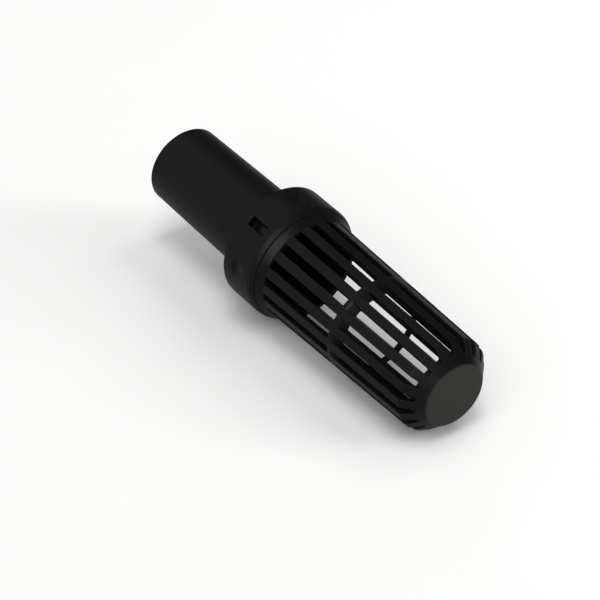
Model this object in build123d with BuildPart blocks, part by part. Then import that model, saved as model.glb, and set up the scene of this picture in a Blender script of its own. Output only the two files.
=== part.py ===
from build123d import *
import os
from math import tan, radians

# Intake strainer for a suction line: a black moulded socket and the slotted basket that snaps into it.
# It stands on the open end of its tube. Z is the axis of both pieces, with the flat nose on top.
# All sizes are in millimetres.

os.makedirs("parts", exist_ok=True)

# Tube of the socket, which is pushed over the end of the suction pipe
tube_length = 41.2
tube_end_diameter = 22.1
tube_root_diameter = 23.0
tube_wall = 1.75
tube_mouth_chamfer = 0.6
tube_edge_break = 0.25

# Cup of the socket, which takes the foot of the basket
cup_diameter = 32.8
cup_height = 12.5
cup_wall = 1.8
cup_floor = 2.0
cup_base_break = 0.45
rim_round_height = 2.1
rim_round_depth = 0.75

# Windows in the cup for the catches, and the four thumb scallops between them
window_count = 2
window_width = 2.7
window_height = 6.2
window_above_floor = 0.9
scallop_count = 4
scallop_radius = 6.3
scallop_depth = 1.1
scallop_height = 6.4
scallop_above_base = 2.0
scallop_end_slope = 1.6

# Foot of the basket: a sleeve inside the cup, and a sloping flange that closes on the cup's rim
sleeve_clearance = 0.15
sleeve_wall = 1.15
sleeve_end_gap = 0.8
flange_step = 0.2
flange_edge = 0.3
flange_height = 2.2
flange_width = 1.05

# Snap fingers cut free in the sleeve, each with a catch that springs out into a window
finger_width = 5.0
finger_slit = 0.8
finger_root = 1.7
catch_width = 1.8
catch_height = 4.6
catch_land = 1.4
catch_recess = 0.5
catch_play = 0.3

# Basket above the flange: it narrows a little up to the shoulder, then the nose is cut off at a slope
basket_height = 61.3
basket_narrowing = 1.3
shoulder_round = 0.6
nose_chamfer_width = 4.5
nose_chamfer_height = 4.9
nose_cap = 3.8
nose_edge_break = 0.2

# Slots and ribs, in two rows with a ring between them; the slots narrow towards the axis, and the
# upper row is turned by about a degree, so each rib has a small step at the ring
slot_count = 18
slot_width = 2.3
slot_root_land = 0.1
lower_slot_length = 26.15
lower_slot_draft = 2.5
lower_rib_depth = 1.6
upper_slot_draft = 11.0
upper_rib_depth = 2.2
upper_slot_depth = 2.8
upper_row_turn = 1.05
slot_floor_round = 0.4
ring_land = 1.35
ring_upper_slope = 45.0
ring_lower_slope = 33.0
ring_edge_break = 0.35

# Every cutter passes the outside of the strainer by this much
cutter_reach = 4.0

# Heights along the axis, from the tube's open end
cup_base = tube_length
cup_floor_top = cup_base + cup_floor
cup_rim = cup_base + cup_height
flange_top = cup_rim + flange_height
nose_top = cup_rim + basket_height
shoulder = nose_top - nose_chamfer_height
cavity_top = nose_top - nose_cap
slots_start = flange_top + slot_root_land
ring_start = slots_start + lower_slot_length
ring_end = ring_start + ring_land
window_bottom = cup_floor_top + window_above_floor
window_top = window_bottom + window_height
sleeve_end = cup_floor_top + sleeve_end_gap

# Radii
tube_end_radius = tube_end_diameter / 2
tube_root_radius = tube_root_diameter / 2
bore_radius = tube_end_radius - tube_wall
cup_radius = cup_diameter / 2
cup_inner_radius = cup_radius - cup_wall
rim_radius = cup_radius - rim_round_depth
flange_radius = rim_radius - flange_step
sleeve_radius = cup_inner_radius - sleeve_clearance
sleeve_inner_radius = sleeve_radius - sleeve_wall
root_radius = flange_radius - flange_width
shoulder_radius = root_radius - basket_narrowing
nose_radius = shoulder_radius - nose_chamfer_width
slot_core_radius = shoulder_radius - upper_slot_depth
catch_radius = cup_radius - catch_recess
past_outside = cup_radius + cutter_reach
past_top = nose_top + cutter_reach


def basket_radius(height):
    """Outside radius of the tapered ribs at a height between the flange and the shoulder."""
    share = (height - flange_top) / (shoulder - flange_top)
    return root_radius + share * (shoulder_radius - root_radius)


def ring_face_height(height_outside, radius, slope):
    """Height of one of the ring's sloping faces: they rise towards the axis."""
    return height_outside + (basket_radius(height_outside) - radius) * tan(radians(slope))


def slot_half_width(radius, draft):
    """Half the width of a slot at a radius: it has its full width at the shoulder's radius."""
    return slot_width / 2 + (radius - shoulder_radius) * tan(radians(draft))


# Window cutter, straight out through the cup's wall
with BuildPart() as window_cutter:
    with BuildSketch(Plane.YZ.offset(sleeve_radius)):
        with Locations((0, (window_bottom + window_top) / 2)):
            Rectangle(window_width, window_height)
    extrude(amount=past_outside - sleeve_radius)

# Scallop cutter: a round bar that leans outwards, with its end sloped off near the cup's base
scallop_foot = (cup_radius - scallop_depth + scallop_radius, 0, cup_base + scallop_above_base)
with BuildPart() as scallop_cutter:
    with BuildSketch(Plane(origin=scallop_foot, z_dir=(scallop_depth, 0, scallop_height))):
        Circle(scallop_radius)
    extrude(amount=cup_height)
    chamfer(scallop_cutter.edges().filter_by(GeomType.CIRCLE).sort_by(Axis.Z)[0], scallop_end_slope)

# Socket: the tube and the cup are one turned form
with BuildPart() as socket:
    with BuildSketch(Plane.XZ):
        with BuildLine():
            Polyline(
                (cup_radius, cup_rim - rim_round_height),
                (cup_radius, cup_base),
                (tube_root_radius, cup_base),
                (tube_end_radius, 0),
                (bore_radius + tube_mouth_chamfer, 0),
                (bore_radius, tube_mouth_chamfer),
                (bore_radius, cup_floor_top),
                (cup_inner_radius, cup_floor_top),
                (cup_inner_radius, cup_rim),
                (rim_radius, cup_rim),
            )
            TangentArc(
                (cup_radius, cup_rim - rim_round_height),
                (rim_radius, cup_rim),
                tangent=(0, 1),
            )
        make_face()
    revolve(axis=Axis.Z)

    base_edges = socket.edges().filter_by(GeomType.CIRCLE).filter_by_position(Axis.Z, cup_base, cup_base)
    chamfer(base_edges.sort_by(SortBy.RADIUS)[-1], cup_base_break)
    end_edges = socket.edges().filter_by(GeomType.CIRCLE).filter_by_position(Axis.Z, 0, 0)
    chamfer(end_edges.sort_by(SortBy.RADIUS)[-1], tube_edge_break)

    with PolarLocations(0, window_count):
        add(window_cutter.part, mode=Mode.SUBTRACT)
    with PolarLocations(0, scallop_count, start_angle=180 / scallop_count):
        add(scallop_cutter.part, mode=Mode.SUBTRACT)
socket.part.label = "socket"

# Cutter for the lower row of slots, from the flange up to the ring's leaning underside
with BuildPart() as lower_cutter:
    with BuildSketch(Plane.XY.offset(slots_start)):
        with BuildLine():
            Polyline(
                (slot_core_radius, -slot_half_width(slot_core_radius, lower_slot_draft)),
                (past_outside, -slot_half_width(past_outside, lower_slot_draft)),
                (past_outside, slot_half_width(past_outside, lower_slot_draft)),
                (slot_core_radius, slot_half_width(slot_core_radius, lower_slot_draft)),
                close=True,
            )
        make_face()
    extrude(amount=nose_top - slots_start)
    with BuildSketch(Plane.XZ):
        with BuildLine():
            Polyline(
                (slot_core_radius, slots_start),
                (past_outside, slots_start),
                (past_outside, ring_face_height(ring_start, past_outside, ring_lower_slope)),
                (slot_core_radius, ring_face_height(ring_start, slot_core_radius, ring_lower_slope)),
                close=True,
            )
        make_face()
    extrude(amount=past_outside, both=True, mode=Mode.INTERSECT)

# Cutter for the upper row: it stops short of the axis, so the slots run out on the nose's chamfer
break_radius = basket_radius(ring_end) - ring_edge_break
with BuildPart() as upper_cutter:
    with BuildSketch(Plane.XY.offset(ring_start)):
        with BuildLine():
            Polyline(
                (slot_core_radius, -slot_half_width(slot_core_radius, upper_slot_draft)),
                (past_outside, -slot_half_width(past_outside, upper_slot_draft)),
                (past_outside, slot_half_width(past_outside, upper_slot_draft)),
                (slot_core_radius, slot_half_width(slot_core_radius, upper_slot_draft)),
                close=True,
            )
        make_face()
    extrude(amount=past_top - ring_start)
    fillet(upper_cutter.edges().filter_by(Axis.Z).group_by(Axis.X)[0], slot_floor_round)
    with BuildSketch(Plane.XZ):
        with BuildLine():
            Polyline(
                (slot_core_radius, ring_face_height(ring_end, slot_core_radius, ring_upper_slope)),
                (break_radius, ring_face_height(ring_end, break_radius, ring_upper_slope)),
                (basket_radius(ring_end), ring_end - ring_edge_break),
                (past_outside, ring_end - ring_edge_break),
                (past_outside, past_top),
                (slot_core_radius, past_top),
                close=True,
            )
        make_face()
    extrude(amount=past_outside, both=True, mode=Mode.INTERSECT)

# Slit cutter: the pair of slits that free one spring finger
slit_top = cup_rim - finger_root
slit_middle = (sleeve_end + slit_top) / 2
slit_offset = (finger_width + finger_slit) / 2
with BuildPart() as slit_cutter:
    with BuildSketch(Plane.YZ.offset(sleeve_inner_radius - sleeve_wall)):
        with Locations((-slit_offset, slit_middle), (slit_offset, slit_middle)):
            Rectangle(finger_slit, slit_top - sleeve_end)
    extrude(amount=past_outside - sleeve_inner_radius)

# Catch: a ramp below and a square face above, which holds on the window's upper edge
catch_top = window_top - catch_play
catch_heel = (sleeve_radius + sleeve_inner_radius) / 2
with BuildPart() as catch:
    with BuildSketch(Plane.XZ):
        with BuildLine():
            Polyline(
                (catch_heel, catch_top - catch_height),
                (sleeve_radius, catch_top - catch_height),
                (catch_radius, catch_top - catch_land),
                (catch_radius, catch_top),
                (catch_heel, catch_top),
                close=True,
            )
        make_face()
    extrude(amount=catch_width / 2, both=True)

# Basket: sleeve, flange, tapered ribs, ring and solid nose are one moulding
with BuildPart() as basket:
    with BuildSketch(Plane.XZ):
        with BuildLine():
            Polyline(
                (sleeve_inner_radius, sleeve_end),
                (sleeve_radius, sleeve_end),
                (sleeve_radius, cup_rim),
                (flange_radius, cup_rim),
                (flange_radius, cup_rim + flange_edge),
                (root_radius, flange_top),
                (shoulder_radius, shoulder),
                (nose_radius, nose_top),
                (0, nose_top),
                (0, cavity_top),
                (shoulder_radius - upper_rib_depth, cavity_top),
                (
                    basket_radius(ring_end) - upper_rib_depth,
                    ring_face_height(ring_end, slot_core_radius, ring_upper_slope),
                ),
                (basket_radius(ring_end) - upper_rib_depth, ring_start),
                (basket_radius(ring_start) - lower_rib_depth, ring_start),
                (sleeve_inner_radius, flange_top),
                close=True,
            )
        make_face()
    revolve(axis=Axis.Z)

    circles = basket.edges().filter_by(GeomType.CIRCLE)
    fillet(circles.filter_by_position(Axis.Z, shoulder, shoulder), shoulder_round)
    nose_edges = basket.edges().filter_by(GeomType.CIRCLE).filter_by_position(Axis.Z, nose_top, nose_top)
    chamfer(nose_edges, nose_edge_break)

    with PolarLocations(0, slot_count):
        add(lower_cutter.part, mode=Mode.SUBTRACT)
    with PolarLocations(0, slot_count, start_angle=upper_row_turn):
        add(upper_cutter.part, mode=Mode.SUBTRACT)
    with PolarLocations(0, window_count):
        add(slit_cutter.part, mode=Mode.SUBTRACT)
        add(catch.part)
basket.part.label = "basket"

for piece in (socket, basket):
    export_step(piece.part, f"parts/{piece.part.label}.step")
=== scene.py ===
from math import cos, pi, radians, sin

import bpy
from mathutils import Matrix, Vector

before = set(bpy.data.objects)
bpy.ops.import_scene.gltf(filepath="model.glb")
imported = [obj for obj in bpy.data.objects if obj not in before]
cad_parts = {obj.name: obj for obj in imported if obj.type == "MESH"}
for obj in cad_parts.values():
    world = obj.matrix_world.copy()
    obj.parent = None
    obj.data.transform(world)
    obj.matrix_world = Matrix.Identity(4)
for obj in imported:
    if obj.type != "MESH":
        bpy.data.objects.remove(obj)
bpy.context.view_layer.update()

# Viewpoint: a long lens looks down on the strainer from beyond its nose, while it lies on a
# table. In its own frame the strainer stands on its tube, so the camera is rolled and the table
# leans.
view_centre = Vector((0, 0.00709, 0.06006))
view_distance = 0.63154
view_azimuth = radians(-0.0215)
view_elevation = radians(38.448)
view_roll = radians(131.127)
lens_length = 149.66
sensor_size = 36
nearest_seen = 0.05
farthest_seen = 20

backward = Vector((
    cos(view_elevation) * cos(view_azimuth),
    cos(view_elevation) * sin(view_azimuth),
    sin(view_elevation),
))
camera_data = bpy.data.cameras.new("viewpoint")
camera_data.lens = lens_length
camera_data.sensor_width = sensor_size
camera_data.clip_start = nearest_seen
camera_data.clip_end = farthest_seen
camera = bpy.data.objects.new("viewpoint", camera_data)
camera_place = Matrix.Translation(view_centre + backward * view_distance)
level_aim = backward.to_track_quat("Z", "Y").to_matrix().to_4x4()
camera.matrix_world = camera_place @ level_aim @ Matrix.Rotation(view_roll, 4, "Z")
bpy.context.scene.collection.objects.link(camera)
bpy.context.scene.camera = camera
bpy.context.scene.view_settings.view_transform = "Standard"

# Table: a wide sheet of matt white card that the cup and the nose touch.
# Only its upper side shows, so that it hides nothing from under the table, and lamplight passes
# through it from below. The plastic mirrors it at about half its brightness.
table_up = Vector((0.74911, -0.65996, -0.05730)).normalized()
table_away = (-backward - table_up * table_up.dot(-backward)).normalized()
table_right = table_away.cross(table_up)
table_drop = 0.01933
card_size = 6
card_white = (0.93, 0.94, 0.925, 1)
card_shade = (0.90, 0.91, 0.895, 1)
card_mirrored = (0.45, 0.455, 0.445, 1)
card_mottle_scale = 9.0
card_mottle_detail = 3.0


def above_table(right, away, up):
    """A place measured along the table from below the middle of the tube's open end."""
    return table_up * (up - table_drop) + table_right * right + table_away * away


class Field:
    """A socket in a node tree. Sums and products of fields add their Math nodes to it."""

    def __init__(self, tree, socket=None):
        self.tree = tree
        self.socket = socket

    def node(self, kind, settings=None, values=None, output=0):
        """Adds a node: its settings are set first, then the values or the links of its sockets."""
        made = self.tree.nodes.new("ShaderNode" + kind)
        for name, value in (settings or {}).items():
            setattr(made, name, value)
        for name, value in (values or {}).items():
            if isinstance(value, Field):
                self.tree.links.new(value.socket, made.inputs[name])
            else:
                made.inputs[name].default_value = value
        return Field(self.tree, made.outputs[output] if made.outputs else None)

    def maths(self, operation, first, second):
        return self.node("Math", {"operation": operation}, {0: first, 1: second})

    def __add__(self, other):
        return self.maths("ADD", self, other)

    def __sub__(self, other):
        return self.maths("SUBTRACT", self, other)

    def __rsub__(self, other):
        return self.maths("SUBTRACT", other, self)

    def __mul__(self, other):
        return self.maths("MULTIPLY", self, other)

    __radd__ = __add__
    __rmul__ = __mul__

    def rise(self, start, end):
        """0 up to start, 1 from end on, and a smooth rise between them."""
        sockets = {"Value": self, "From Min": start, "From Max": end}
        return self.node("MapRange", {"interpolation_type": "SMOOTHSTEP"}, sockets)

    def blend(self, low, high):
        """The colour low where this field is 0, and high where it is 1."""
        return self.node("Mix", {"data_type": "RGBA"}, {0: self, 6: low, 7: high}, output=2)

    def stretch(self, factors):
        """This field's vector with each of its coordinates multiplied."""
        return self.node("VectorMath", {"operation": "MULTIPLY"}, {0: self, 1: factors})

    def dot(self, direction):
        """The dot product of this field's vector with another."""
        sockets = {0: self, 1: direction}
        return self.node("VectorMath", {"operation": "DOT_PRODUCT"}, sockets, output="Value")

    def noise(self, scale, detail):
        """Smooth noise about 0.5 over this field's vector."""
        return self.node("TexNoise", values={"Vector": self, "Scale": scale, "Detail": detail})


def new_material(name):
    """An empty material, with a field to start its nodes from."""
    material = bpy.data.materials.new(name)
    material.use_nodes = True
    material.node_tree.nodes.clear()
    return material, Field(material.node_tree)


corner_signs = ((-1, -1), (1, -1), (1, 1), (-1, 1))
card_corners = [above_table(x * card_size / 2, y * card_size / 2, 0) for x, y in corner_signs]
card_mesh = bpy.data.meshes.new("white_card")
card_mesh.from_pydata(card_corners, [], [(0, 1, 2, 3)])
card = bpy.data.objects.new("white_card", card_mesh)
bpy.context.scene.collection.objects.link(card)

card_material, start = new_material("white_card")
mottle = start.node("TexCoord", output="Object").noise(card_mottle_scale, card_mottle_detail)
mirrored = start.node("LightPath", output="Is Glossy Ray")
tone = mirrored.blend(mottle.blend(card_shade, card_white), card_mirrored)
paper = start.node("BsdfDiffuse", values={"Color": tone})
see_through = start.node("BsdfTransparent")
underside = start.node("NewGeometry", output="Backfacing")
lamplight = start.node("LightPath", output="Is Shadow Ray")
one_sided = start.node("MixShader", values={0: underside + lamplight, 1: paper, 2: see_through})
start.node("OutputMaterial", values={"Surface": one_sided})
card_mesh.materials.append(card_material)

# Lights: soft lamps overhead and to the right throw the shadows to the lower left, and one under
# the table lights the underside. None of them is mirrored. The plastic mirrors the room: a pale
# wall on the left, a window at the front left, a soft glow in front and dim walls elsewhere.
room_fill = 0.05
mirrored_gain = 1.8
backdrop_white = 0.93
lamp_distance = 1.3
lamp_size = 0.55
lamp_aim = above_table(right=0, away=-0.05, up=0.02)


def table_direction(turn, height):
    """A direction by its turn from the viewer's right and its height above the table, in degrees."""
    along = table_right * cos(radians(turn)) + table_away * sin(radians(turn))
    return along * cos(radians(height)) + table_up * sin(radians(height))


room = bpy.data.worlds.new("room")
room.use_nodes = True
room.node_tree.nodes.clear()
start = Field(room.node_tree)
outward = start.node("TexCoord", output="Generated")


def glow(turn, height, edge, core, level):
    """Light from one direction. Edge and core are the cosines where it starts and where it is full."""
    direction = table_direction(turn, height)
    return level * outward.dot(direction).rise(edge, core)


left_wall = glow(turn=175, height=35, edge=0.30, core=0.90, level=0.34)
front_window = glow(turn=246, height=38, edge=0.84, core=0.98, level=1.60)
front_wall = glow(turn=280, height=28, edge=0.50, core=0.95, level=0.30)
glows = left_wall + front_window + front_wall
mirrored = start.node("LightPath", output="Is Glossy Ray")
reached = room_fill + glows * (1 + (mirrored_gain - 1) * mirrored)
seen = start.node("LightPath", output="Is Camera Ray")
shown = reached + seen * (backdrop_white - reached)
walls = start.node("Background", values={"Color": (1, 1, 1, 1), "Strength": shown})
start.node("OutputWorld", values={"Surface": walls})
bpy.context.scene.world = room


def soft_lamp(name, turn, height, radiance):
    """A glowing square that faces the strainer, lights it and isn't mirrored in it."""
    towards = table_direction(turn, height)
    lamp_data = bpy.data.lights.new(name, "AREA")
    lamp_data.shape = "SQUARE"
    lamp_data.size = lamp_size
    lamp_data.energy = radiance * pi * lamp_size ** 2
    lamp = bpy.data.objects.new(name, lamp_data)
    lamp.visible_glossy = False
    facing = towards.to_track_quat("Z", "Y").to_matrix().to_4x4()
    lamp.matrix_world = Matrix.Translation(lamp_aim + towards * lamp_distance) @ facing
    bpy.context.scene.collection.objects.link(lamp)


soft_lamp("overhead", turn=0, height=90, radiance=2.9)
soft_lamp("high_front", turn=270, height=72, radiance=4.0)
soft_lamp("high_right", turn=0, height=52, radiance=1.3)
soft_lamp("high_back_right", turn=45, height=52, radiance=2.5)
soft_lamp("low_right", turn=0, height=22, radiance=5.2)
soft_lamp("low_back", turn=90, height=22, radiance=2.1)
soft_lamp("underneath", turn=40, height=-62, radiance=40)

# Socket: a tapered tube that is pushed over the suction pipe, with a cup for the basket's foot.
# It is one injection moulding in black plastic, drawn from its mould along its axis, with a
# satin skin.
socket_black = (0.0033, 0.0035, 0.0042, 1)
socket_worn = (0.020, 0.020, 0.021, 1)
socket_roughness = 0.40
plastic_index = 1.49
plastic_gloss = 0.14
edge_radius = 0.00022
edge_samples = 8
edge_start = 0.01
edge_full = 0.12
rub_scale = 700.0
rub_start = 0.40
rub_full = 0.65
rub_paleness = 0.7
rub_dulling = 0.08
flow_scale = 60.0
flow_paleness = 0.12
flow_dulling = 0.12
speck_scale = 8400.0
speck_detail = 0.0
speck_start = 0.74
speck_full = 0.80
speck_paleness = 0.5
streak_stretch = (1600.0, 1600.0, 25.0)
streak_scale = 1.0
streak_dulling = 0.10
grain_scale = 4200.0
grain_depth = 0.000012
swell_scale = 110.0
swell_depth = 0.00012
fine_detail = 3.0
broad_detail = 2.0
noise_middle = 0.5


def black_moulding(name, black, worn_and_sheen, roughness, painted_sheen_zone=None):
    """Satin black plastic with fine grain, slow waves in the wall, draw streaks and rubbed edges.
    Its last argument is a pair of heights between which the colour turns pale: a painted sheen that
    stands in for light the surface mirrors."""
    material, start = new_material(name)
    place = start.node("TexCoord", output="Object")
    skin = start.node("NewGeometry", output="Normal")
    rounded = start.node("Bevel", {"samples": edge_samples}, {"Radius": edge_radius})

    edge = (1 - rounded.dot(skin)).rise(edge_start, edge_full)
    rubbed = edge * place.noise(rub_scale, fine_detail).rise(rub_start, rub_full)
    flow = place.noise(flow_scale, broad_detail)
    speck = place.noise(speck_scale, speck_detail).rise(speck_start, speck_full)
    paleness = rubbed * rub_paleness + flow * flow_paleness + speck * speck_paleness
    # Painted sheen: between the zone's heights the colour turns pale, and it stays pale above them,
    # standing in for light the face mirrors.
    if painted_sheen_zone:
        height = start.node("SeparateXYZ", values={0: place}, output="Z")
        paleness = paleness + height.rise(*painted_sheen_zone)
    colour = paleness.blend(black, worn_and_sheen)

    streaks = place.stretch(streak_stretch).noise(streak_scale, broad_detail)
    streak_change = streak_dulling * (streaks - noise_middle)
    flow_change = flow_dulling * (flow - noise_middle)
    matt = roughness + streak_change + flow_change + rub_dulling * rubbed

    waves = start.node("Bump", values={
        "Strength": 1.0,
        "Distance": swell_depth,
        "Height": place.noise(swell_scale, broad_detail),
        "Normal": rounded,
    })
    grained = start.node("Bump", values={
        "Strength": 1.0,
        "Distance": grain_depth,
        "Height": place.noise(grain_scale, fine_detail),
        "Normal": waves,
    })
    plastic = start.node("BsdfPrincipled", values={
        "Base Color": colour,
        "Roughness": matt,
        "IOR": plastic_index,
        "Specular IOR Level": plastic_gloss,
        "Normal": grained,
    })
    start.node("OutputMaterial", values={"Surface": plastic})
    return material


def finish_node(node, material):
    """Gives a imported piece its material."""
    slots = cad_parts[node].data.materials
    slots.clear()
    slots.append(material)


socket_finish = black_moulding("black_socket", socket_black, socket_worn, socket_roughness)
finish_node("socket", socket_finish)

# Basket: sleeve, flange, eighteen tapered ribs, ring and solid nose, moulded in one in a black
# plastic that is more neutral than the socket's. Its two catches have snapped into the windows
# of the cup. The flat face of the nose is painted pale: a painted sheen for the bright table
# that it mirrors.
basket_black = (0.0032, 0.0032, 0.0033, 1)
# Pale colour for rubbed edges, dust and random tone, and also for the painted sheen on the nose face.
basket_worn_and_sheen = (0.026, 0.026, 0.0245, 1)
basket_roughness = 0.34
# Heights from which the nose's flat face is painted pale, as a painted sheen.
painted_sheen_heights = (0.1146, 0.1149)

basket_finish = black_moulding(
    "black_basket", basket_black, basket_worn_and_sheen, basket_roughness, painted_sheen_zone=painted_sheen_heights
)
finish_node("basket", basket_finish)
